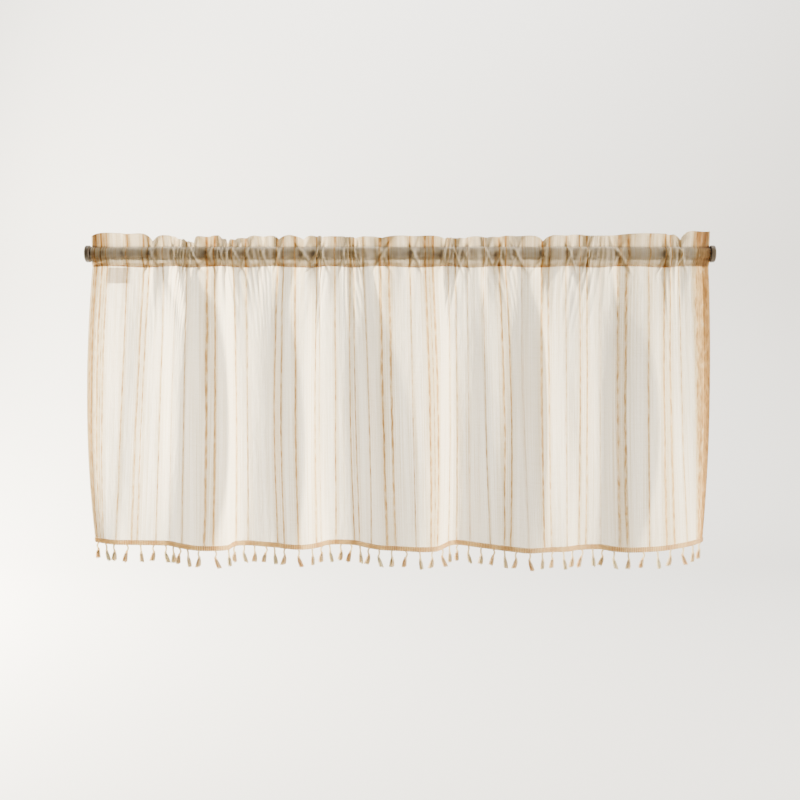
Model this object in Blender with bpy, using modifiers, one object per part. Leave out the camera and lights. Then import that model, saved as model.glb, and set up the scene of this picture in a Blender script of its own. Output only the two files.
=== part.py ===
"""A short gathered curtain on a round rod, with a frilled heading and a tasselled braid along its hem.

The rod runs along +X from the outer face of its left end cap, +Z is up and the room is on the -Y side.
Every size and table below is in millimetres.
"""

import math

import bmesh
import bpy
from mathutils import Vector

MM = 0.001

ROD_LENGTH = 1117.5
ROD_RADIUS = 11.0
ROD_WALL = 1.0
ROD_SIDES = 40
CAP_RADIUS = 15.0
CAP_LENGTH = 8.5
CAP_PLUG = 15.0
FIT_GAP = 0.3

CLOTH_THICK = 1.0
LAYER_PITCH = 1.8
POCKET_RADIUS = 12.9
SEAM_BELOW = -23.0
SEAM_ABOVE = 14.0
HEM_LEVEL = -537.2
PUCKER_REACH = 165.0
COLUMN_PITCH = 12.0
BODY_ROWS = (1.0, 0.9855, 0.865, 0.735, 0.6, 0.47, 0.345, 0.23, 0.13, 0.055, 0.0)
WRAP_ANGLES = (-45.0, 0.0, 45.0)

TRIM_THICK = 1.6
TRIM_BELOW_HEM = 1.0
TRIM_GAP = 0.5
TASSELS = 56
ROOT_WIDTH = 2.0

LABEL_WIDE = 38.0
LABEL_TALL = 28.0
LABEL_THICK = 0.8
LABEL_START = 28.0
LABEL_GAP = 0.6

# One row a fold, read across the cloth from its left edge: how far along the flat cloth it lies,
# where it stands across the window at the heading, half way down and at the hem, and how far
# behind the rod's axis it hangs half way down and at the hem.
FOLD_COLUMNS = ("flat", "x_top", "x_mid", "x_hem", "y_mid", "y_hem")
FOLDS = (
    (0, 11, -12, -16, 10, 44),
    (64, 73, 48, 27, 17, 24),
    (92, 101, 76, 55, 12, 23),
    (139, 139, 119, 103, 20, 20),
    (170, 160, 138, 130, 32, 16),
    (216, 180, 161, 156, 28, -2),
    (254, 199, 190, 185, -6, -16),
    (271, 222, 219, 207, -26, -19),
    (306, 245, 246, 241, -18, -12),
    (334, 258, 257, 251, 14, 14),
    (367, 284, 278, 275, 22, 20),
    (406, 313, 304, 309, 20, 11),
    (442, 341, 330, 333, 6, 4),
    (456, 352, 344, 346, -12, -3),
    (482, 373, 372, 373, -18, -10),
    (501, 395, 391, 391, -12, -6),
    (516, 411, 404, 405, 4, 3),
    (553, 425, 423, 424, 16, 23),
    (580, 452, 450, 448, 20, 27),
    (617, 471, 469, 476, 14, 21),
    (658, 492, 502, 505, -7, -2),
    (687, 514, 519, 527, -28, -13),
    (721, 551, 556, 562, -33, -19),
    (755, 583, 590, 596, -31, -26),
    (786, 612, 623, 624, -22, -22),
    (806, 633, 640, 637, -4, -4),
    (832, 647, 653, 652, 20, 19),
    (857, 661, 668, 670, 25, 23),
    (886, 683, 690, 695, 20, 10),
    (920, 708, 715, 726, 8, -6),
    (962, 745, 760, 759, 4, -22),
    (998, 775, 780, 792, -12, -35),
    (1026, 807, 807, 818, -33, -30),
    (1047, 823, 827, 835, -16, -26),
    (1084, 853, 859, 863, -1, -23),
    (1117, 878, 887, 887, 3, -11),
    (1165, 914, 924, 926, 17, -7),
    (1197, 935, 944, 949, 8, -22),
    (1223, 965, 965, 975, -14, -29),
    (1259, 1002, 1005, 1014, -20, -24),
    (1290, 1029, 1035, 1048, -12, -14),
    (1334, 1056, 1072, 1093, 4, 12),
    (1363, 1081, 1099, 1115, 10, 30),
    (1383, 1108, 1124, 1129, 14, 46),
)

# One row a pinch of the gathered heading: where it lies on the flat cloth, how high the frill stands
# there and in the puff to its right, and how far that puff of the frill leans into the room.
PINCH_COLUMNS = ("flat", "pinch_top", "puff_top", "lean")
PINCHES = (
    (0, 31, 37, 3),
    (56, 36, 36, -2),
    (114, 21, 33, 6),
    (170, 30, 26, -5),
    (208, 26, 22, 4),
    (244, 18, 31, 7),
    (270, 30, 33, -5),
    (300, 28, 27, 4),
    (324, 18, 26, -4),
    (346, 25, 28, 5),
    (370, 27, 32, 6),
    (409, 30, 32, -4),
    (445, 25, 33, 6),
    (495, 24, 32, -4),
    (516, 30, 32, 5),
    (546, 29, 31, -4),
    (590, 31, 30, 6),
    (635, 27, 31, -5),
    (700, 28, 32, 7),
    (755, 31, 32, 5),
    (811, 26, 29, -4),
    (850, 27, 28, 5),
    (874, 27, 31, -4),
    (926, 28, 30, 5),
    (950, 29, 32, -4),
    (987, 31, 32, 6),
    (1032, 21, 33, 6),
    (1092, 33, 34, -4),
    (1134, 32, 32, 5),
    (1207, 33, 36, 6),
    (1293, 35, 34, -4),
    (1334, 24, 40, 6),
    (1383, 39, 39, 0),
)

# A tassel's cord and head, as rows of a distance below the braid and a radius there, then its locks.
TASSEL_RINGS = ((13.0, 1.2), (14.6, 2.5), (17.2, 2.3))
LOCK_END = 30.8
LOCK_SPREAD = 3.0
LOCK_GROWTH = 2.3


def column(table, names, name):
    """One column of a table, as a list."""
    place = names.index(name)
    return [row[place] for row in table]


def eased(table, names, name, flat):
    """A column's value at this place along the flat cloth, on a smooth curve through the rows."""
    places = column(table, names, "flat")
    values = column(table, names, name)
    last = len(places) - 1
    i = 0
    while i < last - 1 and flat > places[i + 1]:
        i += 1
    width = places[i + 1] - places[i]
    rise = (values[i + 1] - values[i]) / width
    before = max(i - 1, 0)
    after = min(i + 2, last)
    start = (values[i + 1] - values[before]) / (places[i + 1] - places[before])
    end = (values[after] - values[i]) / (places[after] - places[i])
    t = (flat - places[i]) / width
    bend = width * t * (1 - t)
    return values[i] + rise * width * t + bend * ((start - rise) * (1 - t) - (end - rise) * t)


def fold_at(name, flat):
    return eased(FOLDS, FOLD_COLUMNS, name, flat)


def puff_at(flat):
    """How the heading stands here: bulge of its pocket, height of its frill and lean of its frill."""
    places = column(PINCHES, PINCH_COLUMNS, "flat")
    i = 0
    while i < len(places) - 2 and flat >= places[i + 1]:
        i += 1
    share = (flat - places[i]) / (places[i + 1] - places[i])
    arch = max(math.sin(math.pi * share), 0.0) ** 0.7
    span = fold_at("x_top", places[i + 1]) - fold_at("x_top", places[i])
    slack = places[i + 1] - places[i] - span
    bulge = max(2.5, min(0.9 * slack, 0.3 * span, 11.0))
    pinches = PINCHES[i][1] * (1 - share) + PINCHES[i + 1][1] * share
    top = pinches + (PINCHES[i][2] - pinches) * arch
    return bulge * arch, top, PINCHES[i][3] * arch


def hanging(flat, drop):
    """The middle of the cloth below its pocket. drop is 0 at the pocket's lower seam and 1 at the hem."""
    bulge = puff_at(flat)[0]
    at_top = (1 - drop) * (1 - 2 * drop)
    at_mid = 4 * drop * (1 - drop)
    at_hem = drop * (2 * drop - 1)
    x = fold_at("x_top", flat) * at_top + fold_at("x_mid", flat) * at_mid
    x += fold_at("x_hem", flat) * at_hem
    y = fold_at("y_mid", flat) * at_mid + fold_at("y_hem", flat) * at_hem
    below = drop * (SEAM_BELOW - HEM_LEVEL)
    fade = max(1 - below / PUCKER_REACH, 0.0) ** 2
    return x, y - 0.6 * bulge * fade, SEAM_BELOW - below


def wrap(flat, angle, side, bulge):
    """A point of the pocket around the rod, on the room side (-1) or the window side (1)."""
    reach = POCKET_RADIUS + bulge
    turn = math.radians(angle)
    return fold_at("x_top", flat), side * reach * math.cos(turn), reach * math.sin(turn)


def section(flat):
    """The cloth's path at one place: up from the hem, round the rod, over the frill and back down."""
    x = fold_at("x_top", flat)
    bulge, top, lean = puff_at(flat)
    seam_y = hanging(flat, 0.0)[1]
    path = [hanging(flat, drop) for drop in BODY_ROWS]
    path += [wrap(flat, angle, -1, bulge) for angle in WRAP_ANGLES]
    for layer in (-1, 1):
        heights = (0.0, 0.5, 1.0) if layer < 0 else (1.0, 0.5, 0.0)
        for share in heights:
            y = -lean * (0.3 + 0.7 * share) + layer * LAYER_PITCH / 2
            path.append((x, y, SEAM_ABOVE + (top - SEAM_ABOVE) * share))
    path += [wrap(flat, angle, 1, 0.5 * bulge) for angle in reversed(WRAP_ANGLES)]
    path.append((x, seam_y + LAYER_PITCH, SEAM_BELOW))
    return path


def cloth_columns():
    """Places along the flat cloth that its mesh is built on: every pinch, with even steps between."""
    places = column(PINCHES, PINCH_COLUMNS, "flat")
    columns = []
    for start, end in zip(places, places[1:]):
        steps = max(2, round((end - start) / COLUMN_PITCH))
        columns += [start + (end - start) * i / steps for i in range(steps)]
    return columns + [places[-1]]


def new_object(name, mesh_data, colour, roughness, metallic=0.0):
    """A mesh object in the curtain's collection, with a plain material of its own."""
    obj = bpy.data.objects.new(name, mesh_data)
    bpy.data.collections["cafe_curtain"].objects.link(obj)
    material = bpy.data.materials.new(name)
    material.use_nodes = True
    shader = material.node_tree.nodes["Principled BSDF"]
    shader.inputs["Base Color"].default_value = (*colour, 1.0)
    shader.inputs["Roughness"].default_value = roughness
    shader.inputs["Metallic"].default_value = metallic
    mesh_data.materials.append(material)
    return obj


def mesh_from(bm, name, smooth=True):
    bmesh.ops.recalc_face_normals(bm, faces=bm.faces)
    mesh_data = bpy.data.meshes.new(name)
    bm.to_mesh(mesh_data)
    bm.free()
    for face in mesh_data.polygons:
        face.use_smooth = smooth
    return mesh_data


def sheet(name, rows, thick, colour):
    """A sheet through a grid of points, given its thickness to both sides alike."""
    bm = bmesh.new()
    grid = [[bm.verts.new(Vector(point) * MM) for point in row] for row in rows]
    for left, right in zip(grid, grid[1:]):
        for i in range(len(left) - 1):
            bm.faces.new((left[i], right[i], right[i + 1], left[i + 1]))
    obj = new_object(name, mesh_from(bm, name), colour, 0.9)
    solid = obj.modifiers.new("thickness", "SOLIDIFY")
    solid.thickness = thick * MM
    solid.offset = 0.0
    solid.use_even_offset = True
    solid.thickness_clamp = 0.0
    return obj


def turned(name, outline, closed, colour, roughness, metallic):
    """A round piece on the rod's axis, turned from an outline of distances along it and radii."""
    bm = bmesh.new()
    verts = [bm.verts.new((x * MM, radius * MM, 0.0)) for x, radius in outline]
    for a, b in zip(verts, verts[1:]):
        bm.edges.new((a, b))
    if closed:
        bm.edges.new((verts[-1], verts[0]))
    mesh_data = bpy.data.meshes.new(name)
    bm.to_mesh(mesh_data)
    bm.free()
    obj = new_object(name, mesh_data, colour, roughness, metallic)
    screw = obj.modifiers.new("turning", "SCREW")
    screw.axis = "X"
    screw.steps = ROD_SIDES
    screw.render_steps = ROD_SIDES
    screw.use_smooth_shade = True
    screw.use_merge_vertices = True
    screw.merge_threshold = 0.00001
    return obj


def offset_line(points, distance):
    """A line of points moved level toward the room by this distance, with mitred corners."""
    moved = []
    for i, (x, y, z) in enumerate(points):
        before = points[max(i - 1, 0)]
        after = points[min(i + 1, len(points) - 1)]
        first = Vector((x - before[0], y - before[1])) if i else None
        second = Vector((after[0] - x, after[1] - y)) if i < len(points) - 1 else None
        ways = [way.normalized() for way in (first, second) if way is not None]
        way = (ways[0] + ways[-1]).normalized()
        stretch = 1 / max(way.dot(ways[0]), 0.5)
        moved.append(Vector((x + way.y * distance * stretch, y - way.x * distance * stretch, z)))
    return moved


def scatter(number, seed):
    """A repeatable value from -1 to 1 for a numbered piece."""
    return 2 * ((number * 0.6180339 + seed * 0.3819) % 1.0) - 1


def tassel(bm, root, number):
    """Draws a tassel down out of one face of the braid: its cord, its head and four locks."""
    start = root.calc_center_median()
    way = Vector((0.1 * scatter(number, 1), 0.1 * scatter(number, 2), -1.0))
    length = 1.0 + 0.05 * scatter(number, 3)
    face = root
    for below, radius in TASSEL_RINGS:
        face = bmesh.ops.extrude_discrete_faces(bm, faces=[face])["faces"][0]
        old = face.calc_center_median()
        centre = start + way * below * length * MM
        for vert in face.verts:
            out = vert.co - old
            out.z = 0.0
            vert.co = centre + out.normalized() * radius * MM
    neck = face.calc_center_median()
    parts = bmesh.ops.poke(bm, faces=[face])["faces"]
    tips = bmesh.ops.extrude_discrete_faces(bm, faces=parts)["faces"]
    for i, tip in enumerate(tips):
        old = tip.calc_center_median()
        out = old - neck
        out.z = 0.0
        drop = (LOCK_END + 1.2 * scatter(number + 7 * i, 4)) * length - TASSEL_RINGS[-1][0]
        spread = LOCK_SPREAD + 0.4 * scatter(number + 3 * i, 5)
        centre = neck + way * drop * MM + out.normalized() * spread * MM
        for vert in tip.verts:
            vert.co = centre + (vert.co - old) * LOCK_GROWTH


for leftover in list(bpy.data.objects):
    bpy.data.objects.remove(leftover)
curtain_collection = bpy.data.collections.new("cafe_curtain")
bpy.context.scene.collection.children.link(curtain_collection)

# Rod: a thin steel tube between the shoulders of its two end caps.
tube_start = CAP_LENGTH + FIT_GAP
tube_end = ROD_LENGTH - tube_start
tube_outline = (
    (tube_end, ROD_RADIUS - ROD_WALL),
    (tube_end, ROD_RADIUS),
    (tube_start, ROD_RADIUS),
    (tube_start, ROD_RADIUS - ROD_WALL),
)
turned("rod", tube_outline, True, (0.42, 0.34, 0.24), 0.45, 0.6)

# End caps: rounded heads that press on the walls, each with a plug inside the tube.
plug_radius = ROD_RADIUS - ROD_WALL - FIT_GAP
cap_outline = (
    (0.0, 0.0),
    (0.0, CAP_RADIUS - 1.8),
    (0.5, CAP_RADIUS - 0.6),
    (1.8, CAP_RADIUS),
    (CAP_LENGTH - 1.0, CAP_RADIUS),
    (CAP_LENGTH, CAP_RADIUS - 1.0),
    (CAP_LENGTH, plug_radius),
    (CAP_LENGTH + CAP_PLUG, plug_radius),
    (CAP_LENGTH + CAP_PLUG, 0.0),
)
turned("end_cap_left", cap_outline[::-1], False, (0.14, 0.11, 0.08), 0.55, 0.0)
right_outline = [(ROD_LENGTH - x, radius) for x, radius in cap_outline]
turned("end_cap_right", right_outline, False, (0.14, 0.11, 0.08), 0.55, 0.0)

# Curtain: one sheet, hung in folds and turned back over the rod as a pocket with a frill above it.
columns = cloth_columns()
sections = [section(flat) for flat in columns]
sheet("curtain_panel", sections, CLOTH_THICK, (0.87, 0.83, 0.76))

# Braid and tassels: a narrow strip in front of the hem, with the tassels drawn out of its lower edge.
hem = [path[0] for path in sections]
strip_top = [path[1] for path in sections]
behind = CLOTH_THICK / 2 + TRIM_GAP
ahead = behind + TRIM_THICK
corners = [
    offset_line(strip_top, ahead),
    offset_line(strip_top, behind),
    offset_line(hem, behind),
    offset_line(hem, ahead),
]
for line in corners[2:]:
    for point in line:
        point.z -= TRIM_BELOW_HEM

tassel_pitch = columns[-1] / TASSELS
stops = list(columns)
roots = []
for number in range(TASSELS):
    middle = (number + 0.5) * tassel_pitch
    nearest = min(columns, key=lambda place: abs(place - middle))
    clear = ROOT_WIDTH / 2 + 0.6
    if abs(nearest - middle) < clear:
        middle = nearest + math.copysign(clear, middle - nearest)
    roots.append(middle)
    stops += [middle - ROOT_WIDTH / 2, middle + ROOT_WIDTH / 2]
stops.sort()

bm = bmesh.new()
rings = []
for stop in stops:
    i = 0
    while i < len(columns) - 2 and stop > columns[i + 1]:
        i += 1
    share = (stop - columns[i]) / (columns[i + 1] - columns[i])
    rings.append([bm.verts.new(line[i].lerp(line[i + 1], share) * MM) for line in corners])
root_faces = []
for start, end, left, right in zip(stops, stops[1:], rings, rings[1:]):
    for a in range(4):
        b = (a + 1) % 4
        face = bm.faces.new((left[a], left[b], right[b], right[a]))
        if a == 2 and any(start < middle < end for middle in roots):
            root_faces.append(face)
bm.faces.new(rings[0])
bm.faces.new(rings[-1])
bmesh.ops.recalc_face_normals(bm, faces=bm.faces)
for number, root in enumerate(root_faces):
    tassel(bm, root, number)
new_object("tassel_trim", mesh_from(bm, "tassel_trim", False), (0.62, 0.43, 0.25), 0.95)

# Care label: a small blank tab that hangs behind the cloth from the pocket's lower seam.
label_rows = []
for i in range(5):
    flat = LABEL_START + LABEL_WIDE * i / 4
    row = []
    for j in range(4):
        drop = (1.2 + LABEL_TALL * j / 3) / (SEAM_BELOW - HEM_LEVEL)
        x, y, z = hanging(flat, drop)
        row.append((x, y + (CLOTH_THICK + LABEL_THICK) / 2 + LABEL_GAP, z))
    label_rows.append(row)
sheet("care_label", label_rows, LABEL_THICK, (0.9, 0.88, 0.86))
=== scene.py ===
"""A short sheer curtain gathered on a round rod, with a frilled heading, a tan braid and small tassels."""

import math

import bpy
import numpy as np
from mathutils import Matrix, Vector


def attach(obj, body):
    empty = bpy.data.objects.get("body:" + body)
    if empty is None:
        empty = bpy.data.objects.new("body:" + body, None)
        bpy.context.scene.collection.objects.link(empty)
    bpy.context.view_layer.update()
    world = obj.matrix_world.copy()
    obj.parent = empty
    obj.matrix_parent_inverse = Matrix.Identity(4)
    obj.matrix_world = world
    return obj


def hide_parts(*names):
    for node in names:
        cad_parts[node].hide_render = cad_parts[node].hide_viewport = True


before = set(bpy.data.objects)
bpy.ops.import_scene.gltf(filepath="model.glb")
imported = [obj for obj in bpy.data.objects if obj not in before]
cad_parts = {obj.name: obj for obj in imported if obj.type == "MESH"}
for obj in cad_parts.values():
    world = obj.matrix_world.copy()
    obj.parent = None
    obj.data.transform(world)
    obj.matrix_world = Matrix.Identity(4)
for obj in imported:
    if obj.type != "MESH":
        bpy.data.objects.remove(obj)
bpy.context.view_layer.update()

# ROD
# A straight steel tube, 22 mm across, with a baked champagne lacquer that has dulled a little.
# The plugs in its two ends carry it.
# Both rod colours are painted far darker than the lacquer, as painted shade of the rod's side that faces
# away from the light behind it.
rod_champagne_shaded = (0.105, 0.066, 0.027)
rod_worn_shaded = (0.05, 0.03, 0.012)


def put(tree, kind, inputs=None, **settings):
    """Adds a node with its options set; each input is a value, or a socket to link from."""
    made = tree.nodes.new(kind)
    for name, value in settings.items():
        setattr(made, name, value)
    for name, value in (inputs or {}).items():
        if isinstance(value, bpy.types.NodeSocket):
            tree.links.new(value, made.inputs[name])
        else:
            made.inputs[name].default_value = value
    return made


def maths(tree, operation, *values, clamp=False):
    """A Math node's result; the values are numbers or sockets."""
    inputs = dict(enumerate(values))
    return put(tree, "ShaderNodeMath", inputs, operation=operation, use_clamp=clamp).outputs[0]


def blend_colours(tree, share, first, second):
    """A colour between two, by a mask."""
    made = put(tree, "ShaderNodeMix", data_type="RGBA")
    for place, value in ((0, share), (6, first), (7, second)):
        if isinstance(value, bpy.types.NodeSocket):
            tree.links.new(value, made.inputs[place])
        else:
            made.inputs[place].default_value = value if place == 0 else (*value, 1.0)
    return made.outputs[2]


def new_finish(name, roughness, metallic=0.0):
    """A material with its Principled shader, ready for colours and bumps."""
    material = bpy.data.materials.new(name)
    material.use_nodes = True
    shader = material.node_tree.nodes["Principled BSDF"]
    shader.inputs["Roughness"].default_value = roughness
    shader.inputs["Metallic"].default_value = metallic
    return material, material.node_tree, shader


def dress_node(name, material):
    """Gives a carried-over solid its finish."""
    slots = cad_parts[name].material_slots
    for slot in slots:
        slot.material = material


def handling_wear_group():
    """Cloudy dulling and fine specks, as a mask each, with a bump height for the specks."""
    group = bpy.data.node_groups.new("handling_wear", "ShaderNodeTree")
    sockets = group.interface
    sockets.new_socket("Cloud Size", in_out="INPUT", socket_type="NodeSocketFloat")
    sockets.new_socket("Speck Size", in_out="INPUT", socket_type="NodeSocketFloat")
    sockets.new_socket("Clouds", in_out="OUTPUT", socket_type="NodeSocketFloat")
    sockets.new_socket("Specks", in_out="OUTPUT", socket_type="NodeSocketFloat")
    start = put(group, "NodeGroupInput")
    end = put(group, "NodeGroupOutput")
    place = put(group, "ShaderNodeTexCoord").outputs["Object"]
    cloud_scale = maths(group, "DIVIDE", 1.0, start.outputs["Cloud Size"])
    speck_scale = maths(group, "DIVIDE", 1.0, start.outputs["Speck Size"])
    clouds = put(group, "ShaderNodeTexNoise", {"Vector": place, "Scale": cloud_scale, "Detail": 4.0})
    specks = put(group, "ShaderNodeTexNoise", {"Vector": place, "Scale": speck_scale, "Detail": 2.0})
    soft = maths(group, "SMOOTH_MIN", clouds.outputs[0], 0.75, 0.2)
    hard = maths(group, "SUBTRACT", maths(group, "MULTIPLY", specks.outputs[0], 3.0), 1.6, clamp=True)
    group.links.new(soft, end.inputs["Clouds"])
    group.links.new(hard, end.inputs["Specks"])
    return group


handling_wear = handling_wear_group()
rod_lacquer, tree, shader = new_finish("shaded_champagne_lacquer", 0.42, 0.3)
wear = put(tree, "ShaderNodeGroup", node_tree=handling_wear)
wear.inputs["Cloud Size"].default_value = 0.05
wear.inputs["Speck Size"].default_value = 0.0012
colour = blend_colours(tree, wear.outputs["Clouds"], rod_champagne_shaded, rod_worn_shaded)
tree.links.new(colour, shader.inputs["Base Color"])
rough = maths(tree, "MULTIPLY_ADD", wear.outputs["Clouds"], 0.22, 0.3)
tree.links.new(rough, shader.inputs["Roughness"])
bump = put(tree, "ShaderNodeBump", {"Height": wear.outputs["Specks"], "Strength": 0.12, "Distance": 0.0002})
tree.links.new(bump.outputs[0], shader.inputs["Normal"])
shader.inputs["Coat Weight"].default_value = 0.25
shader.inputs["Coat Roughness"].default_value = 0.2
dress_node("rod", rod_lacquer)

# END CAPS
# Two rounded plugs of dark brown moulded plastic, 30 mm across, pushed into the tube's ends.
# Their flat outer faces press outward and hold the rod up.
cap_brown = (0.085, 0.06, 0.032)
cap_scuffed = (0.14, 0.104, 0.06)
cap_plastic, tree, shader = new_finish("moulded_brown_plastic", 0.5)
wear = put(tree, "ShaderNodeGroup", node_tree=handling_wear)
wear.inputs["Cloud Size"].default_value = 0.012
wear.inputs["Speck Size"].default_value = 0.0007
colour = blend_colours(tree, wear.outputs["Specks"], cap_brown, cap_scuffed)
tree.links.new(colour, shader.inputs["Base Color"])
rough = maths(tree, "MULTIPLY_ADD", wear.outputs["Clouds"], 0.3, 0.35)
tree.links.new(rough, shader.inputs["Roughness"])
bump = put(tree, "ShaderNodeBump", {"Height": wear.outputs["Specks"], "Strength": 0.3, "Distance": 0.0002})
tree.links.new(bump.outputs[0], shader.inputs["Normal"])
dress_node("end_cap_left", cap_plastic)
dress_node("end_cap_right", cap_plastic)

# CURTAIN
# One cut length of open cotton and linen weave, off-white, with slubby tan yarns in the warp.
# Its top is turned back over the rod and sewn below it, so that a frill stands above the rod, and
# its sides are turned in once behind. Sizes are in millimetres until the mesh is made.
MM = 0.001
cloth_wide = 1383.0
side_turning = 10.0
layer_gap = 1.6
pocket_radius = 12.0
seam_below = -23.0
seam_above = 12.4
hem_level = -537.2
pucker_reach = 165.0
frill_turning = 7.0
gather_pitch = 16.0
gather_tall = 3.2
gather_reach = 75.0
pinch_grip = 13.0
upper_pleat = 3.6
lower_pleat = 2.4
pleat_wide = 2.6
pleat_tail = 12.0
pleat_reach = 10.0
crease_gain = 1.6
ripple_tall = 0.7
hanging_rows = 84
cloth_columns = 650

# A row a fold: place along the flat cloth, sideways place at the heading, half way down and at the hem,
# and depth behind the rod's axis half way down and at the hem.
FOLDS = np.array((
    (0, 11, -12, -16, 10, 44),
    (64, 73, 48, 27, 17, 24),
    (92, 101, 76, 55, 12, 23),
    (139, 139, 119, 103, 20, 20),
    (170, 160, 138, 130, 32, 16),
    (216, 180, 161, 156, 28, -2),
    (254, 199, 190, 185, -6, -16),
    (271, 222, 219, 207, -26, -19),
    (306, 245, 246, 241, -18, -12),
    (334, 258, 257, 251, 14, 14),
    (367, 284, 278, 275, 22, 20),
    (406, 313, 304, 309, 20, 11),
    (442, 341, 330, 333, 6, 4),
    (456, 352, 344, 346, -12, -3),
    (482, 373, 372, 373, -18, -10),
    (501, 395, 391, 391, -12, -6),
    (516, 411, 404, 405, 4, 3),
    (553, 425, 423, 424, 16, 23),
    (580, 452, 450, 448, 20, 27),
    (617, 471, 469, 476, 14, 21),
    (658, 492, 502, 505, -7, -2),
    (687, 514, 519, 527, -28, -13),
    (721, 551, 556, 562, -33, -19),
    (755, 583, 590, 596, -31, -26),
    (786, 612, 623, 624, -22, -22),
    (806, 633, 640, 637, -4, -4),
    (832, 647, 653, 652, 20, 19),
    (857, 661, 668, 670, 25, 23),
    (886, 683, 690, 695, 20, 10),
    (920, 708, 715, 726, 8, -6),
    (962, 745, 760, 759, 4, -22),
    (998, 775, 780, 792, -12, -35),
    (1026, 807, 807, 818, -33, -30),
    (1047, 823, 827, 835, -16, -26),
    (1084, 853, 859, 863, -1, -23),
    (1117, 878, 887, 887, 3, -11),
    (1165, 914, 924, 926, 17, -7),
    (1197, 935, 944, 949, 8, -22),
    (1223, 965, 965, 975, -14, -29),
    (1259, 1002, 1005, 1014, -20, -24),
    (1290, 1029, 1035, 1048, -12, -14),
    (1334, 1056, 1072, 1093, 4, 12),
    (1363, 1081, 1099, 1115, 10, 30),
    (1383, 1108, 1124, 1129, 14, 46),
), float)

# A row a pinch of the heading: place along the flat cloth, height of the frill there and in the puff
# to its right, and lean of that puff into the room.
PINCHES = np.array((
    (0, 31, 37, 3),
    (56, 36, 36, -2),
    (114, 21, 33, 6),
    (170, 30, 26, -5),
    (208, 26, 22, 4),
    (244, 18, 31, 7),
    (270, 30, 33, -5),
    (300, 28, 27, 4),
    (324, 18, 26, -4),
    (346, 25, 28, 5),
    (370, 27, 32, 6),
    (409, 30, 32, -4),
    (445, 25, 33, 6),
    (495, 24, 32, -4),
    (516, 30, 32, 5),
    (546, 29, 31, -4),
    (590, 31, 30, 6),
    (635, 27, 31, -5),
    (700, 28, 32, 7),
    (755, 31, 32, 5),
    (811, 26, 29, -4),
    (850, 27, 28, 5),
    (874, 27, 31, -4),
    (926, 28, 30, 5),
    (950, 29, 32, -4),
    (987, 31, 32, 6),
    (1032, 21, 33, 6),
    (1092, 33, 34, -4),
    (1134, 32, 32, 5),
    (1207, 33, 36, 6),
    (1293, 35, 34, -4),
    (1334, 24, 40, 6),
    (1383, 39, 39, 0),
), float)

# A row a crease below the pocket: where along the flat cloth it starts and ends, how far down it
# reaches as a share of the drop, its height toward the room and its width.
CREASES = (
    (114, 118, 0.22, -4, 9),
    (141, 214, 0.28, 5, 10),
    (170, 240, 0.25, -4, 9),
    (222, 236, 0.15, 3, 6),
    (254, 262, 0.50, 4, 12),
    (334, 334, 0.50, -5, 10),
    (406, 400, 0.20, 3, 9),
    (442, 452, 0.12, -3, 7),
    (472, 452, 0.26, 4, 10),
    (498, 500, 0.20, -3, 8),
    (518, 545, 0.30, 4, 7),
    (557, 560, 0.22, -3, 7),
    (586, 592, 0.30, 3, 8),
    (617, 636, 0.30, 4, 8),
    (655, 664, 0.30, -4, 9),
    (672, 680, 0.50, 4, 12),
    (735, 738, 0.20, 3, 12),
    (809, 812, 0.35, -5, 9),
    (848, 846, 0.20, 3, 8),
    (926, 930, 0.15, -3, 8),
    (950, 960, 0.25, 3, 10),
    (1010, 1014, 0.20, 3, 8),
    (1032, 1040, 0.30, -4, 9),
    (1092, 1126, 0.13, -4, 7),
    (1134, 1138, 0.13, 3, 8),
    (1210, 1216, 0.20, -3, 12),
    (1293, 1296, 0.25, 3, 7),
    (1334, 1330, 0.20, -4, 9),
)


def fold_at(column, flat):
    """A column of the folds at these places along the flat cloth, on a smooth curve through the rows."""
    places, values = FOLDS[:, 0], FOLDS[:, column]
    slopes = np.empty(len(places))
    slopes[1:-1] = (values[2:] - values[:-2]) / (places[2:] - places[:-2])
    slopes[0] = (values[1] - values[0]) / (places[1] - places[0])
    slopes[-1] = (values[-1] - values[-2]) / (places[-1] - places[-2])
    i = np.clip(np.searchsorted(places, flat, side="right") - 1, 0, len(places) - 2)
    width = places[i + 1] - places[i]
    rise = (values[i + 1] - values[i]) / width
    t = (flat - places[i]) / width
    bend = width * t * (1 - t)
    return values[i] + rise * width * t + bend * (
        (slopes[i] - rise) * (1 - t) - (slopes[i + 1] - rise) * t
    )


def puff_at(flat):
    """Bulge of the pocket, height and lean of the frill, and how crowded the gathers are here."""
    places = PINCHES[:, 0]
    i = np.clip(np.searchsorted(places, flat, side="right") - 1, 0, len(places) - 2)
    length = places[i + 1] - places[i]
    share = (flat - places[i]) / length
    arch = np.maximum(np.sin(np.pi * share), 0.0) ** 0.7
    span = fold_at(1, places[i + 1]) - fold_at(1, places[i])
    slack = length - span
    bulge = np.clip(0.9 * slack, 2.5, np.minimum(0.3 * span, 11.0))
    pinch_top = PINCHES[i, 1] * (1 - share) + PINCHES[i + 1, 1] * share
    top = pinch_top + (PINCHES[i, 2] - pinch_top) * arch
    crowding = np.clip(slack / length, 0.06, 0.5)
    return bulge * arch, top, PINCHES[i, 3] * arch, crowding


def gathers(flat, height):
    """Small gathers as rounded ridges, 0 to 1. They slant across the rod and their spacing wanders."""
    place = flat + 0.3 * np.sin(flat / 47.0) * height
    wander = 5.0 * np.sin(place / 31.0) + 3.0 * np.sin(place / 17.0 + 1.3)
    return (0.5 + 0.5 * np.cos(2 * np.pi * (place + wander) / gather_pitch)) ** 2


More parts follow.
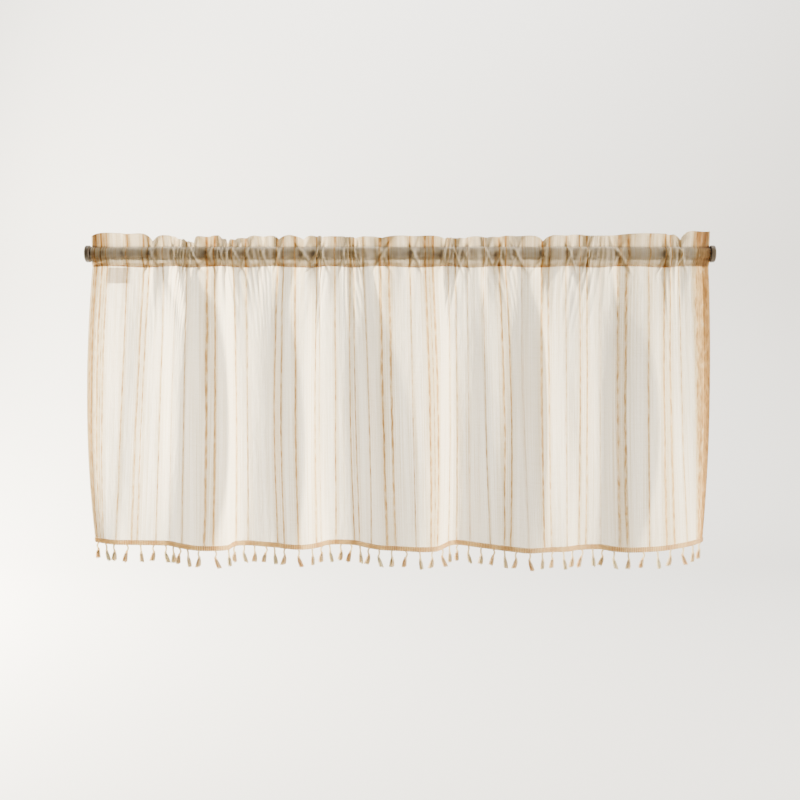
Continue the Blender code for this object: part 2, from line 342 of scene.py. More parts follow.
def pleats(flat, height):
    """Two narrow pleats that cross over the rod at each pinch and fade below the seam, as a height
    toward the room."""
    kept = np.maximum(height, seam_below - pleat_tail)
    rise = np.zeros(np.broadcast(flat, height).shape)
    for number, place in enumerate(PINCHES[2:-1, 0]):
        slant = (0.55, -0.45, 0.35, -0.6)[number % 4]
        for way, tall in ((slant, upper_pleat), (-0.7 * slant, lower_pleat)):
            middle = place + way * kept
            rise += tall * np.exp(-(((flat - middle) / pleat_wide) ** 2))
    return rise * np.exp(-((np.maximum(seam_below - height, 0.0) / pleat_reach) ** 1.5))


def gathered(flat, height):
    """How far gathers and pleats stand toward the room, at this height from the rod's axis."""
    crowding = puff_at(flat)[3]
    from_pinch = np.abs(PINCHES[:, 0] - np.asarray(flat)[..., None]).min(axis=-1)
    crowding = crowding * (0.3 + 0.7 * np.exp(-((from_pinch / pinch_grip) ** 2)))
    below = np.maximum(seam_below - height, 0.0)
    tall = np.minimum(12.0 * crowding, gather_tall)
    small = tall * gathers(flat, height) * np.exp(-((below / gather_reach) ** 1.2))
    above = np.clip((height - seam_above) / 14.0, 0.0, 1.0)
    return small + pleats(flat, height) * (1 - 0.8 * above)


def creased(flat, drop):
    """How far the creases below the pocket stand into the room."""
    height = np.zeros(np.broadcast(flat, drop).shape)
    for start, end, reach, rise, width in CREASES:
        share = np.clip(drop / reach, 0, 1)
        middle = start + (end - start) * share
        spread = width * (1 + 1.2 * share)
        height += crease_gain * rise * (1 - share) ** 1.3 * np.exp(-(((flat - middle) / spread) ** 2))
    return height


def hanging(flat, drop):
    """The cloth below its pocket. drop is 0 at the lower seam and 1 at the hem."""
    bulge = puff_at(flat)[0]
    at_top = (1 - drop) * (1 - 2 * drop)
    at_mid = 4 * drop * (1 - drop)
    at_hem = drop * (2 * drop - 1)
    x = fold_at(1, flat) * at_top + fold_at(2, flat) * at_mid + fold_at(3, flat) * at_hem
    y = fold_at(4, flat) * at_mid + fold_at(5, flat) * at_hem
    below = drop * (seam_below - hem_level)
    fade = np.maximum(1 - below / pucker_reach, 0.0) ** 2
    ripple = ripple_tall * np.sin(flat / 13.0 + 2.0 * np.sin(below / 90.0)) * at_mid
    y = y - 0.6 * bulge * fade - creased(flat, drop) - gathered(flat, seam_below - below) + ripple
    wave = 1.2 * np.sin(flat / 21.0) * np.exp(-below / 30.0)
    return np.stack(np.broadcast_arrays(x, y, seam_below - below + wave), axis=-1)


def curve_through(points, steps):
    """Smooth rows through rows of points, with this many steps between each two."""
    rows = [points[0]]
    last = len(points) - 1
    for i in range(last):
        p0, p1, p2, p3 = (points[min(max(i + k, 0), last)] for k in (-1, 0, 1, 2))
        for j in range(1, steps + 1):
            t = j / steps
            rows.append(0.5 * (
                2 * p1 + (p2 - p0) * t + (2 * p0 - 5 * p1 + 4 * p2 - p3) * t * t
                + (3 * p1 - p0 - 3 * p2 + p3) * t ** 3
            ))
    return rows


def pocket_rows(flat, side):
    """Rows of the pocket from the lower seam to the upper one, in front of the rod (-1) or behind it."""
    bulge, _, lean, _ = puff_at(flat)
    x = fold_at(1, flat)
    foot = hanging(flat, 0.0)
    foot[:, 1] += gathered(flat, seam_below)
    control = [foot]
    for angle in (-52, -20, 12, 44):
        turn = math.radians(angle)
        reach = pocket_radius + 0.5 * bulge
        control.append(np.stack((x, side * reach * math.cos(turn), reach * math.sin(turn)), axis=-1))
    top = np.full_like(x, seam_above)
    control.append(np.stack((x, np.clip(-lean * 0.3, -3, 3), top), axis=-1))
    rows = curve_through(control, 4)
    for number, row in enumerate(rows):
        belly = math.sin(math.pi * number / (len(rows) - 1))
        front = gathered(flat, row[:, 2])
        if side < 0:
            row[:, 1] -= front
        else:
            behind = 0.5 * gathered(flat + 6.0, row[:, 2])
            row[:, 1] += behind * belly - front * (1 - belly) + layer_gap * (1 - belly)
    return rows


def frill_row(flat, share, side):
    """A row of the frill, at this share of its height, on its front (-1) or back (1) layer."""
    _, top, lean, crowding = puff_at(flat)
    tall = top - 1.4 * crowding * (1 - gathers(flat, top)) - seam_above
    height = seam_above + tall * share
    ease = 1 - 0.4 * share
    y = -lean * (0.3 + 0.7 * share) - ease * gathered(flat, height) + max(side, 0) * layer_gap
    return np.stack((fold_at(1, flat), y, height), axis=-1)


def cloth_rows(flat):
    """Every row of the cloth, from its hem over the rod and down its back."""
    drops = (1 - np.linspace(0, 1, hanging_rows)) ** 1.5
    rows = [hanging(flat, drop) for drop in drops]
    rows += pocket_rows(flat, -1)[1:]
    rows += [frill_row(flat, share, -1) for share in np.linspace(0, 1, 8)[1:]]
    crown = frill_row(flat, 1.0, 0)
    rows.append(crown + np.array((0.0, layer_gap / 2, 0.5)))
    rows += [frill_row(flat, share, 1) for share in np.linspace(1, 0, 8)]
    back = pocket_rows(flat, 1)
    rows += back[-2::-1]
    turning = back[0] + np.array((0.0, -0.7, 0.0))
    rows += [turning + np.array((0.0, 0.0, rise)) for rise in (0.0, 2.5, 5.0, frill_turning)]
    return rows


def grid_mesh(name, points, across, along, stacked):
    """A mesh through a grid of points, with its place on the cut cloth and how far it is pleated."""
    rows, columns = points.shape[:2]
    mesh = bpy.data.meshes.new(name)
    index = np.arange(rows * columns).reshape(rows, columns)
    quads = np.stack((index[:-1, :-1], index[:-1, 1:], index[1:, 1:], index[1:, :-1]), axis=-1)
    mesh.from_pydata((points.reshape(-1, 3) * MM).tolist(), [], quads.reshape(-1, 4).tolist())
    cut = mesh.uv_layers.new(name="cut_cloth")
    places = np.stack(np.broadcast_arrays(across * MM, along * MM), axis=-1).reshape(-1, 2)
    cut.data.foreach_set("uv", places[quads.reshape(-1)].astype(np.float32).ravel())
    pleated = mesh.attributes.new("pleated", "FLOAT", "POINT")
    pleated.data.foreach_set("value", stacked.astype(np.float32).ravel())
    mesh.shade_smooth()
    return mesh


def new_piece(name, mesh, material):
    """An object of the curtain that rides with the rod, attached to the root, with the finish it is given.
    """
    piece = bpy.data.objects.new(name, mesh)
    bpy.context.scene.collection.objects.link(piece)
    mesh.materials.append(material)
    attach(piece, "root")
    return piece


columns = np.linspace(0.0, cloth_wide, cloth_columns)
front = np.array(cloth_rows(columns))
steps = np.linalg.norm(np.diff(front, axis=0), axis=2)
along = np.vstack((np.zeros(len(columns)), np.cumsum(steps, axis=0)))
mean_along = along.mean(axis=1, keepdims=True)
turning_gap = 0.9
turning_shares = np.array((1.0, 0.66, 0.33, 0.06))


def side_turn(edge, inner):
    """The turning behind one side: a narrow strip folded back from the edge, its inner side first."""
    behind = np.array((0.0, turning_gap, 0.0))
    return np.stack([edge + (inner - edge) * share + behind for share in turning_shares], axis=1)


inner_columns = np.array((side_turning, cloth_wide - side_turning))
inner = np.array(cloth_rows(inner_columns))
left_turn = side_turn(front[:, 0], inner[:, 0])
right_turn = side_turn(front[:, -1], inner[:, 1])[:, ::-1]
points = np.concatenate((left_turn, front, right_turn), axis=1)
turned = side_turning * turning_shares
across = np.concatenate((-turned, columns, cloth_wide + turned[::-1]))[None, :]
edge_kept = np.clip(across, 0.0, cloth_wide)
stacked = pleats(edge_kept, points[:, :, 2]) / upper_pleat
curtain_mesh = grid_mesh("curtain", points, across, mean_along, np.clip(stacked, 0.0, 1.0))

cloth_white = (0.86, 0.77, 0.6)
cloth_cream = (0.62, 0.49, 0.27)
yarn_tan = (0.33, 0.18, 0.06)
yarn_honey = (0.74, 0.48, 0.2)


def trios(rows):
    """Rows of a table in groups of three."""
    return [rows[i:i + 3] for i in range(0, len(rows), 3)]


# Every tan yarn, as its place along the flat cloth, its width and its strength.
TAN_YARNS = (
    (4, 1.8, 0.45), (8, 2.4, 0.80), (13, 1.6, 0.40), (18, 2.2, 0.80), (23, 1.6, 0.35),
    (28, 2.2, 0.60), (65, 2.2, 0.65), (94, 2.2, 0.65), (104, 2.2, 0.55), (139, 2.0, 0.50),
    (170, 1.8, 0.30), (216, 4.0, 0.50), (266, 2.2, 0.75), (280, 2.8, 1.00), (338, 2.8, 0.60),
    (368, 3.2, 0.50), (442, 2.6, 0.80), (456, 2.2, 0.65), (481, 2.2, 0.95), (516, 2.6, 0.65),
    (531, 2.2, 0.50), (570, 2.0, 0.65), (615, 2.4, 0.80), (628, 2.2, 0.60), (659, 2.4, 0.50),
    (696, 3.0, 0.80), (710, 2.8, 0.70), (747, 2.0, 0.45), (776, 2.6, 0.90), (783, 1.6, 0.50),
    (790, 2.6, 0.95), (826, 2.4, 0.60), (850, 3.4, 0.50), (879, 2.2, 0.30), (919, 2.0, 0.50),
    (950, 2.4, 0.75), (963, 2.4, 0.85), (999, 3.6, 0.20), (1031, 3.0, 0.80), (1047, 2.8, 0.50),
    (1085, 1.8, 0.50), (1116, 2.4, 0.75), (1133, 2.4, 0.75), (1166, 2.4, 0.25), (1209, 4.2, 0.45),
    (1222, 3.4, 0.60), (1259, 2.0, 0.70), (1290, 2.8, 0.95), (1306, 3.0, 0.85), (1333, 1.8, 0.60),
    (1362, 1.8, 0.35), (1365, 2.0, 0.60), (1368, 2.4, 1.10), (1371, 2.2, 1.05), (1374, 2.4, 0.95),
    (1377, 2.4, 1.10), (1380, 2.6, 1.25), (1383, 2.6, 1.20),
)


def yarn_trio_group():
    """Adds three warp yarns to a running mask: each is a soft band at a place across the cloth, and a
    second mask runs on to both sides of it, where finer tan threads lie."""
    group = bpy.data.node_groups.new("three_warp_yarns", "ShaderNodeTree")
    sockets = group.interface
    sockets.new_socket("Across", in_out="INPUT", socket_type="NodeSocketFloat")
    sockets.new_socket("So Far", in_out="INPUT", socket_type="NodeSocketFloat")
    sockets.new_socket("Sides So Far", in_out="INPUT", socket_type="NodeSocketFloat")
    for name in ("Places", "Sharpness", "Strengths"):
        sockets.new_socket(name, in_out="INPUT", socket_type="NodeSocketVector")
    sockets.new_socket("Mask", in_out="OUTPUT", socket_type="NodeSocketFloat")
    sockets.new_socket("Sides", in_out="OUTPUT", socket_type="NodeSocketFloat")
    start = put(group, "NodeGroupInput")
    end = put(group, "NodeGroupOutput")

    def vectors(operation, *values):
        inputs = dict(enumerate(values))
        return put(group, "ShaderNodeVectorMath", inputs, operation=operation)

    offset = vectors("SUBTRACT", start.outputs["Across"], start.outputs["Places"])
    distance = vectors("ABSOLUTE", offset.outputs[0])
    fall = vectors("MULTIPLY", distance.outputs[0], start.outputs["Sharpness"])
    for reach, before, result in ((1.0, "So Far", "Mask"), (0.24, "Sides So Far", "Sides")):
        near = vectors("MULTIPLY", fall.outputs[0], (reach, reach, reach))
        band = vectors("SUBTRACT", (1.0, 1.0, 1.0), near.outputs[0])
        positive = vectors("MAXIMUM", band.outputs[0], (0.0, 0.0, 0.0))
        total = vectors("DOT_PRODUCT", positive.outputs[0], start.outputs["Strengths"])
        added = maths(group, "ADD", total.outputs["Value"], start.outputs[before])
        group.links.new(added, end.inputs[result])
    return group


def thread_weave_group():
    """A plain weave: how much the threads cover, and their height, from places in metres."""
    group = bpy.data.node_groups.new("thread_weave", "ShaderNodeTree")
    sockets = group.interface
    for name in ("Across", "Along", "Thread Pitch", "Unevenness"):
        sockets.new_socket(name, in_out="INPUT", socket_type="NodeSocketFloat")
    sockets.new_socket("Cover", in_out="OUTPUT", socket_type="NodeSocketFloat")
    sockets.new_socket("Height", in_out="OUTPUT", socket_type="NodeSocketFloat")
    start = put(group, "NodeGroupInput")
    end = put(group, "NodeGroupOutput")
    turns = maths(group, "DIVIDE", 2 * math.pi, start.outputs["Thread Pitch"])
    place = put(group, "ShaderNodeCombineXYZ", {0: start.outputs["Across"], 1: start.outputs["Along"]})
    stray = put(group, "ShaderNodeTexNoise", {"Vector": place.outputs[0], "Scale": 420.0, "Detail": 2.0})
    push = maths(group, "MULTIPLY", stray.outputs[0], start.outputs["Unevenness"])
    threads = []
    for name in ("Across", "Along"):
        phase = maths(group, "MULTIPLY_ADD", start.outputs[name], turns, push)
        threads.append(maths(group, "MULTIPLY_ADD", maths(group, "COSINE", phase), 0.5, 0.5))
    cover = maths(group, "MAXIMUM", *threads)
    height = maths(group, "MULTIPLY", maths(group, "ADD", *threads), 0.5)
    group.links.new(cover, end.inputs["Cover"])
    group.links.new(height, end.inputs["Height"])
    return group


def cut_cloth_noise(tree, place, across_scale, along_scale, detail):
    """Noise on the cut cloth, drawn out one way: place holds metres across and along it."""
    spot = put(tree, "ShaderNodeCombineXYZ", {
        0: maths(tree, "MULTIPLY", place.outputs["X"], across_scale),
        1: maths(tree, "MULTIPLY", place.outputs["Y"], along_scale),
    })
    noise = put(tree, "ShaderNodeTexNoise", {"Vector": spot.outputs[0], "Scale": 1.0, "Detail": detail})
    return noise.outputs[0]


yarn_trio = yarn_trio_group()
thread_weave = thread_weave_group()
sheer_cloth, tree, shader = new_finish("striped_sheer_weave", 0.92)
cut = put(tree, "ShaderNodeUVMap", uv_map="cut_cloth")
place = put(tree, "ShaderNodeSeparateXYZ", {0: cut.outputs[0]})
across_mm = maths(tree, "MULTIPLY", place.outputs["X"], 1 / MM)

# The yarns wander up to 2 mm to each side, and thicken and thin in slubs along their length.
wander = cut_cloth_noise(tree, place, 22.0, 7.0, 3.0)
shift = maths(tree, "MULTIPLY_ADD", wander, 4.0, -2.0)
wandered = maths(tree, "ADD", across_mm, shift)
slub = cut_cloth_noise(tree, place, 240.0, 52.0, 2.0)
slub_gain = maths(tree, "MULTIPLY_ADD", slub, 3.2, -0.7)
yarn_gain = 1.9
no_yarn = (-50.0, 1.0, 0.0)
mask = sides = None
for trio in trios(TAN_YARNS):
    trio = list(trio) + [no_yarn] * (3 - len(trio))
    step = put(tree, "ShaderNodeGroup", node_tree=yarn_trio)
    tree.links.new(wandered, step.inputs["Across"])
    if mask:
        tree.links.new(mask, step.inputs["So Far"])
        tree.links.new(sides, step.inputs["Sides So Far"])
    step.inputs["Places"].default_value = [row[0] for row in trio]
    step.inputs["Sharpness"].default_value = [1 / row[1] for row in trio]
    step.inputs["Strengths"].default_value = [yarn_gain * row[2] for row in trio]
    mask, sides = step.outputs["Mask"], step.outputs["Sides"]
yarns = maths(tree, "MULTIPLY", mask, slub_gain, clamp=True)

# Fine streaks: warp threads that are a little darker, thicker or closer than their neighbours, most
# of them beside the tan yarns, and a few thick weft threads across them.
streak = cut_cloth_noise(tree, place, 520.0, 3.0, 3.0)
streaked = maths(tree, "MULTIPLY_ADD", sides, 0.16, streak)
tint = maths(tree, "MULTIPLY_ADD", streaked, 3.4, -1.45, clamp=True)
weft = cut_cloth_noise(tree, place, 26.0, 640.0, 2.0)
crossing = maths(tree, "MULTIPLY_ADD", weft, 1.6, -0.75, clamp=True)
shaded = maths(tree, "MULTIPLY_ADD", crossing, 0.35, maths(tree, "MULTIPLY", tint, 0.8), clamp=True)
ground = blend_colours(tree, shaded, cloth_white, cloth_cream)
grain = maths(tree, "MULTIPLY_ADD", slub, 0.5, maths(tree, "MULTIPLY", streak, 0.6))
beads = maths(tree, "MULTIPLY_ADD", grain, 3.6, -1.5, clamp=True)
tone = blend_colours(tree, beads, yarn_honey, yarn_tan)
colour = blend_colours(tree, yarns, ground, tone)
weave_places = {"Across": place.outputs["X"], "Along": place.outputs["Y"]}
weave = put(tree, "ShaderNodeGroup", weave_places, node_tree=thread_weave)
weave.inputs["Thread Pitch"].default_value = 0.0008
weave.inputs["Unevenness"].default_value = 5.0

# Half of the cloth glows with the light behind it. The rest is thread with open holes between, and the
# holes close where yarns thicken or pleats lie over each other.
glow_share = 0.5
least_cover, thread_cover, streak_cover, yarn_cover, pleat_cover = 0.36, 0.4, 0.2, 0.5, 0.6
cover = maths(tree, "MULTIPLY_ADD", weave.outputs["Cover"], thread_cover, least_cover)
cover = maths(tree, "MULTIPLY_ADD", tint, streak_cover, cover)
cover = maths(tree, "MULTIPLY_ADD", yarns, yarn_cover, cover)
pleated = put(tree, "ShaderNodeAttribute", attribute_name="pleated").outputs["Fac"]
cover = maths(tree, "MULTIPLY_ADD", pleated, pleat_cover, cover, clamp=True)
crinkle = cut_cloth_noise(tree, place, 95.0, 26.0, 3.0)
crinkled = put(tree, "ShaderNodeBump", {"Height": crinkle, "Strength": 0.6, "Distance": 0.003})
bump = put(tree, "ShaderNodeBump", {"Height": weave.outputs["Height"], "Normal": crinkled.outputs[0]})
bump.inputs["Strength"].default_value = 0.5
bump.inputs["Distance"].default_value = 0.0003
tree.links.new(colour, shader.inputs["Base Color"])
tree.links.new(cover, shader.inputs["Alpha"])
tree.links.new(bump.outputs[0], shader.inputs["Normal"])
shader.inputs["Sheen Weight"].default_value = 0.15
glow = put(tree, "ShaderNodeBsdfTranslucent", {"Color": colour, "Normal": crinkled.outputs[0]})
woven = put(tree, "ShaderNodeMixShader", {0: glow_share, 1: shader.outputs[0], 2: glow.outputs[0]})
tree.links.new(woven.outputs[0], tree.nodes["Material Output"].inputs["Surface"])

curtain = new_piece("curtain", curtain_mesh, sheer_cloth)
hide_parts("curtain_panel")

# POCKET STITCHING
# One row of tan cotton thread through both layers of the cloth, a stitch every 3.4 mm, which closes the
# pocket below the rod. Its stitches bunch up into small knots where the heading is pinched.
stitch_pitch = 3.4
stitch_long = 2.8
stitch_rise = 1.2
thread_radius = 0.42
thread_tan = (0.66, 0.36, 0.12)
thread_gold = (0.9, 0.6, 0.27)


def tube_rings(path, radii, sides, twist=0.0):
    """Rings of points around a path."""
    path = np.asarray(path, float)
    ways = np.gradient(path, axis=0)
    ways /= np.linalg.norm(ways, axis=1, keepdims=True)
    side = np.cross(ways, (0.3, 0.9, 0.2))
    side /= np.linalg.norm(side, axis=1, keepdims=True)
    other = np.cross(ways, side)
    turn = 2 * np.pi * np.arange(sides) / sides
    turn = turn[None, :] + twist * np.linspace(0, 1, len(path))[:, None]
    radii = np.broadcast_to(radii, len(path))[:, None, None]
    rings = np.cos(turn)[..., None] * side[:, None] + np.sin(turn)[..., None] * other[:, None]
    return path[:, None] + radii * rings


class YarnMesh:
    """Collects closed tubes of yarn into one mesh, each with a tone of its own."""

    def __init__(self):
        self.points, self.faces, self.tones, self.count = [], [], [], 0

    def add(self, rings, tone):
        steps, sides = rings.shape[:2]
        index = self.count + np.arange(steps * sides).reshape(steps, sides)
        after = np.roll(index, -1, axis=1)
        quads = np.stack((index[:-1], after[:-1], after[1:], index[1:]), axis=-1)
        self.faces += quads.reshape(-1, 4).tolist()
        self.faces += [index[0][::-1].tolist(), index[-1].tolist()]
        self.points.append(rings.reshape(-1, 3))
        self.tones.append(np.full(steps * sides, tone))
        self.count += steps * sides

    def mesh(self, name):
        made = bpy.data.meshes.new(name)
        made.from_pydata((np.concatenate(self.points) * MM).tolist(), [], self.faces)
        tones = made.attributes.new("yarn_tone", "FLOAT", "POINT")
        tones.data.foreach_set("value", np.concatenate(self.tones).astype(np.float32))
        made.shade_smooth()
        return made


def yarn_finish(name, dark, light, fibres):
    """Cotton yarn: each end has its own tone, with fine fibres across it, and some light passes it."""
    material, tree, shader = new_finish(name, 0.9)
    light_passed = 0.62
    tone = put(tree, "ShaderNodeAttribute", attribute_name="yarn_tone")
    coords = put(tree, "ShaderNodeTexCoord").outputs["Object"]
    fuzz = put(tree, "ShaderNodeTexNoise", {"Vector": coords, "Scale": fibres, "Detail": 3.0})
    share = maths(tree, "MULTIPLY_ADD", fuzz.outputs[0], 0.5, tone.outputs["Fac"])
    share = maths(tree, "SUBTRACT", share, 0.25, clamp=True)
    colour = blend_colours(tree, share, dark, light)
    tree.links.new(colour, shader.inputs["Base Color"])
    bump = put(tree, "ShaderNodeBump", {"Height": fuzz.outputs[0], "Strength": 0.5, "Distance": 0.0004})
    tree.links.new(bump.outputs[0], shader.inputs["Normal"])
    shader.inputs["Sheen Weight"].default_value = 0.3
    glow = put(tree, "ShaderNodeBsdfTranslucent", {"Color": colour})
    yarn = put(tree, "ShaderNodeMixShader", {0: light_passed, 1: shader.outputs[0], 2: glow.outputs[0]})
    tree.links.new(yarn.outputs[0], tree.nodes["Material Output"].inputs["Surface"])
    return material


stitches = YarnMesh()
for number in range(int((cloth_wide - 6) / stitch_pitch)):
    start = 3.0 + number * stitch_pitch
    flat = start + stitch_long * np.linspace(0, 1, 5)
    path = hanging(flat, 0.0)
    path[:, 2] += stitch_rise
    bunched = np.exp(-((np.abs(PINCHES[:, 0] - start).min() / 6.0) ** 2))
    radius = thread_radius * (0.85 + 0.3 * math.sin(start / 37.0) + 0.9 * bunched)
    path[:, 1] -= radius * np.array((0.2, 1.1, 1.4, 1.1, 0.2)) + 0.25
    # Each stitch has a tone of its own, and those bunched at a pinch take the darkest tone, as painted
    # shade in the knots.
    tone = (number * 0.618) % 1 * (1 - bunched)
    stitches.add(tube_rings(path, radius * np.array((0.6, 1, 1, 1, 0.6)), 6), tone)
stitch_thread = yarn_finish("tan_sewing_thread", thread_tan, thread_gold, 2600.0)
stitching = new_piece("pocket_stitching", stitches.mesh("pocket_stitching"), stitch_thread)

# BRAID
# A narrow crocheted braid of tan cotton, 9.4 mm deep, with a rib every 3.1 mm. It is sewn flat along the
# front of the hem.
braid_deep = 9.4
braid_base = 0.7
braid_thick = 1.5
braid_rib = 3.1
braid_tan = (0.6, 0.37, 0.15)
braid_straw = (1.0, 0.9, 0.64)
braid_columns = np.linspace(0.5, cloth_wide - 0.5, 1720)


def level_normal(path):
    """Unit directions level with the floor, square to a path and toward the room."""
    way = np.gradient(path[:, :2], axis=0)
    way /= np.linalg.norm(way, axis=1, keepdims=True)
    return np.stack((way[:, 1], -way[:, 0], np.zeros(len(way))), axis=-1)


drop_span = seam_below - hem_level
hem_path = hanging(braid_columns, 1.0)
top_path = hanging(braid_columns, 1.0 - (braid_deep - 1.0) / drop_span)
toward_room = level_normal(hem_path)
outline = []
for share in np.linspace(0, 1, 7):
    outline.append((share, 1.0 - 0.55 * (2 * share - 1) ** 4))
for share in np.linspace(1, 0, 4):
    outline.append((share, 0.0))
rings = []
for share, out in outline:
    base = hem_path * (1 - share) + top_path * share
    base = base + np.array((0.0, 0.0, -1.0)) * (1 - share)
    phase = braid_columns / braid_rib + 0.35 * abs(2 * share - 1)
    rib = 0.5 + 0.5 * np.cos(2 * np.pi * phase)
    edge = 0.25 * (2 * share - 1) * rib
    thick = braid_base + braid_thick * out * (0.55 + 0.45 * rib)
    ring = base + toward_room * thick[:, None]
    ring[:, 2] += edge
    rings.append(ring)
braid_strip = YarnMesh()
# The braid is painted lighter on each rib and darker between the ribs, as painted shade in the hollows,
# with a slow change of tone along it.
rib_shade_and_tone = 0.62 + 0.42 * np.cos(2 * np.pi * braid_columns / braid_rib) + 0.1 * np.sin(braid_columns * 0.13)
braid_strip.add(np.stack(rings, axis=1), 0.5)
braid_strip.tones = [np.repeat(np.clip(rib_shade_and_tone, 0, 1), len(outline))]
braid_cotton = yarn_finish("tan_braid_cotton", braid_tan, braid_straw, 1400.0)
braid = new_piece("hem_braid", braid_strip.mesh("hem_braid"), braid_cotton)

# TASSELS
# 56 small cotton tassels, evenly spaced along the braid. Each hangs on a doubled cord, has a bound
# head and a skirt of loose strands.
tassel_count = 56
tassel_long = 30.8
tassel_tan = (0.96, 0.77, 0.49)
tassel_straw = (1.0, 0.95, 0.78)
cord_long = 11.5
cord_radius = 1.25
cord_curl = 0.75
cord_tone = 0.85
head_down = np.array((-0.6, 0.0, 0.7, 1.3, 1.9, 2.5, 3.1, 3.7, 4.3))
head_wide = np.array((1.0, 2.0, 2.6, 2.7, 2.3, 2.5, 2.2, 2.4, 2.3))
strand_count = 26
strand_start = 3.2
strand_step = 2.39996
strand_radii = np.array((0.66, 0.8, 0.82, 0.78, 0.66, 0.28))


def scatter(number, seed):
    """A repeatable value from -1 to 1 for a numbered piece."""
    return 2 * ((number * 0.6180339 + seed * 0.3819) % 1.0) - 1


tassels = YarnMesh()
pitch = cloth_wide / tassel_count
for number in range(tassel_count):
    flat = np.array((number + 0.5) * pitch)
    root = hanging(flat, 1.0) + np.array((0.0, 0.0, -1.0))
    near = hanging(flat + np.array((-1.0, 1.0)), 1.0)
    root = root + level_normal(near)[0] * 1.5
    way = np.array((0.1 * scatter(number, 1), 0.1 * scatter(number, 2), -1.0))
    tilted = np.array((0.34 * scatter(number, 11), 0.16 * scatter(number, 12), -1.0))
    length = 1.0 + 0.05 * scatter(number, 3)
    tone = 0.45 + 0.35 * scatter(number, 6)
    sway = 2.6 * scatter(number, 8)
    bend = 2.4 * scatter(number, 13)
    down = np.linspace(-0.8, cord_long * length, 12)
    for strand in (0, 1):
        turn = strand * np.pi + down * 1.1
        curl = np.stack((np.cos(turn), np.sin(turn), np.zeros_like(turn)), axis=-1) * cord_curl
        bow = sway * np.sin(np.pi * np.clip(down / cord_long, 0, 1))[:, None] * np.array((1.0, 0.3, 0.0))
        tassels.add(tube_rings(root + down[:, None] * way + curl + bow, cord_radius, 6), cord_tone)
    neck = root + way * cord_long * length
    tassels.add(tube_rings(neck + head_down[:, None] * tilted, head_wide, 12), tone)
    for strand in range(strand_count):
        turn = strand * strand_step
        spread = math.sqrt((strand + 0.5) / strand_count)
        fall = (tassel_long - cord_long) * length + 1.3 * scatter(strand + 5 * number, 4)
        t = np.linspace(0, 1, 6)[:, None]
        out = np.array((math.cos(turn), math.sin(turn), 0.0))
        flare = 2.3 * spread * (1 - t) + (4.3 + 0.9 * scatter(number, 7)) * spread * t ** 0.8
        lean = (bend + 0.5 * scatter(strand + 3 * number, 9)) * t ** 2 * np.array((1.0, 0.4, 0.0))
        path = neck + tilted * (strand_start + (fall - strand_start) * t) + out * flare + lean
        own = tone + 0.3 * t.ravel()[3] + 0.25 * scatter(strand + 11 * number, 10)
        tassels.add(tube_rings(path, strand_radii, 4), own)
tassel_cotton = yarn_finish("tan_tassel_cotton", tassel_tan, tassel_straw, 1800.0)
tassel_row = new_piece("hem_tassels", tassels.mesh("hem_tassels"), tassel_cotton)
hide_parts("tassel_trim")

# CARE LABEL
# A small blank tab of thin white woven tape, caught in the pocket's lower seam behind the cloth. Some
# light passes it.
tape_shade = (0.7, 0.59, 0.49)
tape_white = (0.84, 0.74, 0.62)
label_tape, tree, shader = new_finish("blank_label_tape", 0.7)
coords = put(tree, "ShaderNodeSeparateXYZ", {0: put(tree, "ShaderNodeTexCoord").outputs["Object"]})
tape_places = {"Across": coords.outputs["X"], "Along": coords.outputs["Z"]}
tape = put(tree, "ShaderNodeGroup", tape_places, node_tree=thread_weave)
tape.inputs["Thread Pitch"].default_value = 0.0005
tape.inputs["Unevenness"].default_value = 1.0
# Between the threads the tape is painted darker, as painted shade in the gaps of the weave.
colour = blend_colours(tree, tape.outputs["Cover"], tape_shade, tape_white)
tree.links.new(colour, shader.inputs["Base Color"])
bump = put(tree, "ShaderNodeBump", {"Height": tape.outputs["Height"], "Strength": 0.3, "Distance": 0.0002})
tree.links.new(bump.outputs[0], shader.inputs["Normal"])
shader.inputs["Alpha"].default_value = 0.45
dress_node("care_label", label_tape)

# FLOOR AND BACKDROP
# A pale sweep: a floor a metre under the rod that curves up into a backdrop well behind the curtain. It
# throws no light back on the cloth, so that the folds keep their shading.
floor_level = -1.05
floor_front = -6.0
bend_start = 1.6
bend_radius = 1.0
bend_steps = 12
backdrop_top = 5.0
sweep_sides = (-7.0, 8.1)
sweep_profile = [(floor_front, floor_level), (bend_start, floor_level)]
for step in range(1, bend_steps + 1):
    turn = math.pi / 2 * step / bend_steps
    forward, up = bend_radius * math.sin(turn), bend_radius * (1 - math.cos(turn))
    sweep_profile.append((bend_start + forward, floor_level + up))
sweep_profile.append((bend_start + bend_radius, backdrop_top))
sweep_points = np.array([[(x, y, z) for x in sweep_sides] for y, z in sweep_profile])
sweep_mesh = bpy.data.meshes.new("pale_sweep")
rows = len(sweep_points)
sweep_faces = [(2 * i, 2 * i + 1, 2 * i + 3, 2 * i + 2) for i in range(rows - 1)]
sweep_mesh.from_pydata(sweep_points.reshape(-1, 3).tolist(), [], sweep_faces)
sweep_mesh.shade_smooth()
sweep = bpy.data.objects.new("pale_sweep", sweep_mesh)
bpy.context.scene.collection.objects.link(sweep)
sweep_paint, tree, shader = new_finish("pale_sweep_paint", 0.9)
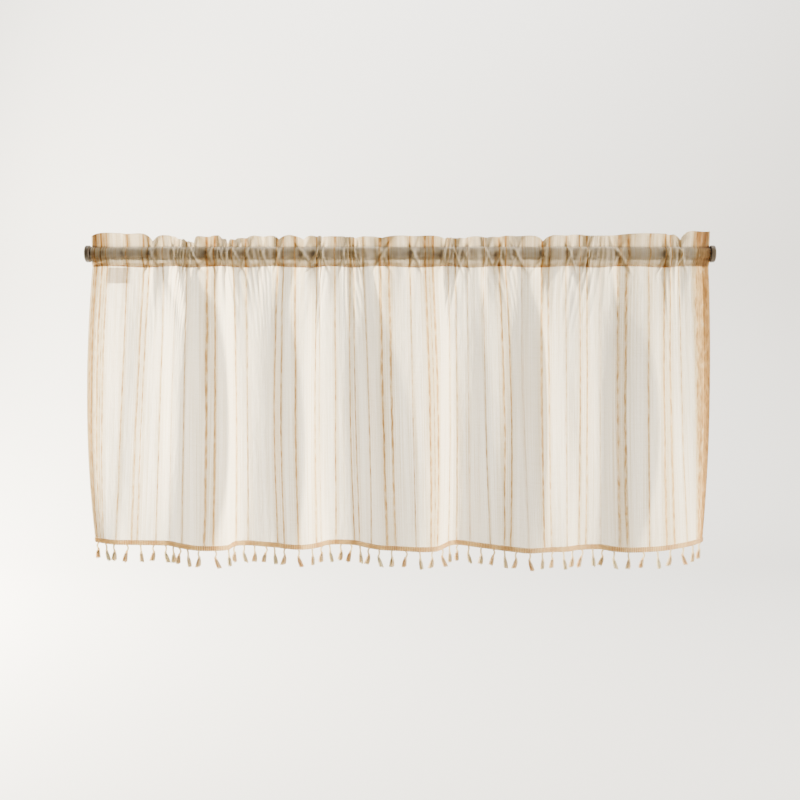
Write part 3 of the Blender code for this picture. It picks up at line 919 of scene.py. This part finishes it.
shader.inputs["Base Color"].default_value = (0.93, 0.93, 0.92, 1.0)
sweep_mesh.materials.append(sweep_paint)
sweep.visible_diffuse = False

# LIGHTS
# The main light rakes through the cloth from behind at the left, and a weaker one comes from the right in
# front, so that both shade the same slope of each fold. They stand about level with the rod, whose shade
# then stays on the pocket. A third light washes the backdrop.
middle_of_cloth = (0.56, 0.0, -0.25)
middle_of_backdrop = (0.56, 2.6, 0.2)


def soft_light(name, place, target, power, size, colour):
    lamp = bpy.data.lights.new(name, "AREA")
    lamp.energy = power
    lamp.shape = "DISK"
    lamp.size = size
    lamp.color = colour
    holder = bpy.data.objects.new(name, lamp)
    holder.location = place
    holder.rotation_euler = (Vector(target) - Vector(place)).to_track_quat("-Z", "Y").to_euler()
    bpy.context.scene.collection.objects.link(holder)


soft_light("light_behind", (-2.2, 1.1, 0.0), middle_of_cloth, 700.0, 0.3, (1.0, 0.91, 0.74))
soft_light("light_in_front", (3.6, -1.2, 0.3), middle_of_cloth, 225.0, 1.5, (1.0, 0.93, 0.82))
soft_light("backdrop_wash", (0.56, 1.0, 3.0), middle_of_backdrop, 270.0, 2.6, (1.0, 1.0, 1.0))
world = bpy.data.worlds.new("soft_room")
world.use_nodes = True
world.node_tree.nodes["Background"].inputs["Color"].default_value = (0.97, 0.98, 1.0, 1.0)
world.node_tree.nodes["Background"].inputs["Strength"].default_value = 0.1
bpy.context.scene.world = world

# CAMERA
# Level with the rod, 1.94 m away and tipped down, as in the photograph. Its focal length is 1079 times
# the width of a pixel in a picture 800 pixels wide.
half_picture = 400
focal_pixels = 1079
tipped_down = 7.8
camera = bpy.data.cameras.new("room_view")
camera.sensor_fit = "HORIZONTAL"
camera.angle = 2 * math.atan(half_picture / focal_pixels)
viewer = bpy.data.objects.new("room_view", camera)
viewer.location = (0.5585, -1.936, 0.003)
viewer.rotation_euler = (math.radians(90.0 - tipped_down), 0.0, 0.0)
bpy.context.scene.collection.objects.link(viewer)
bpy.context.scene.camera = viewer
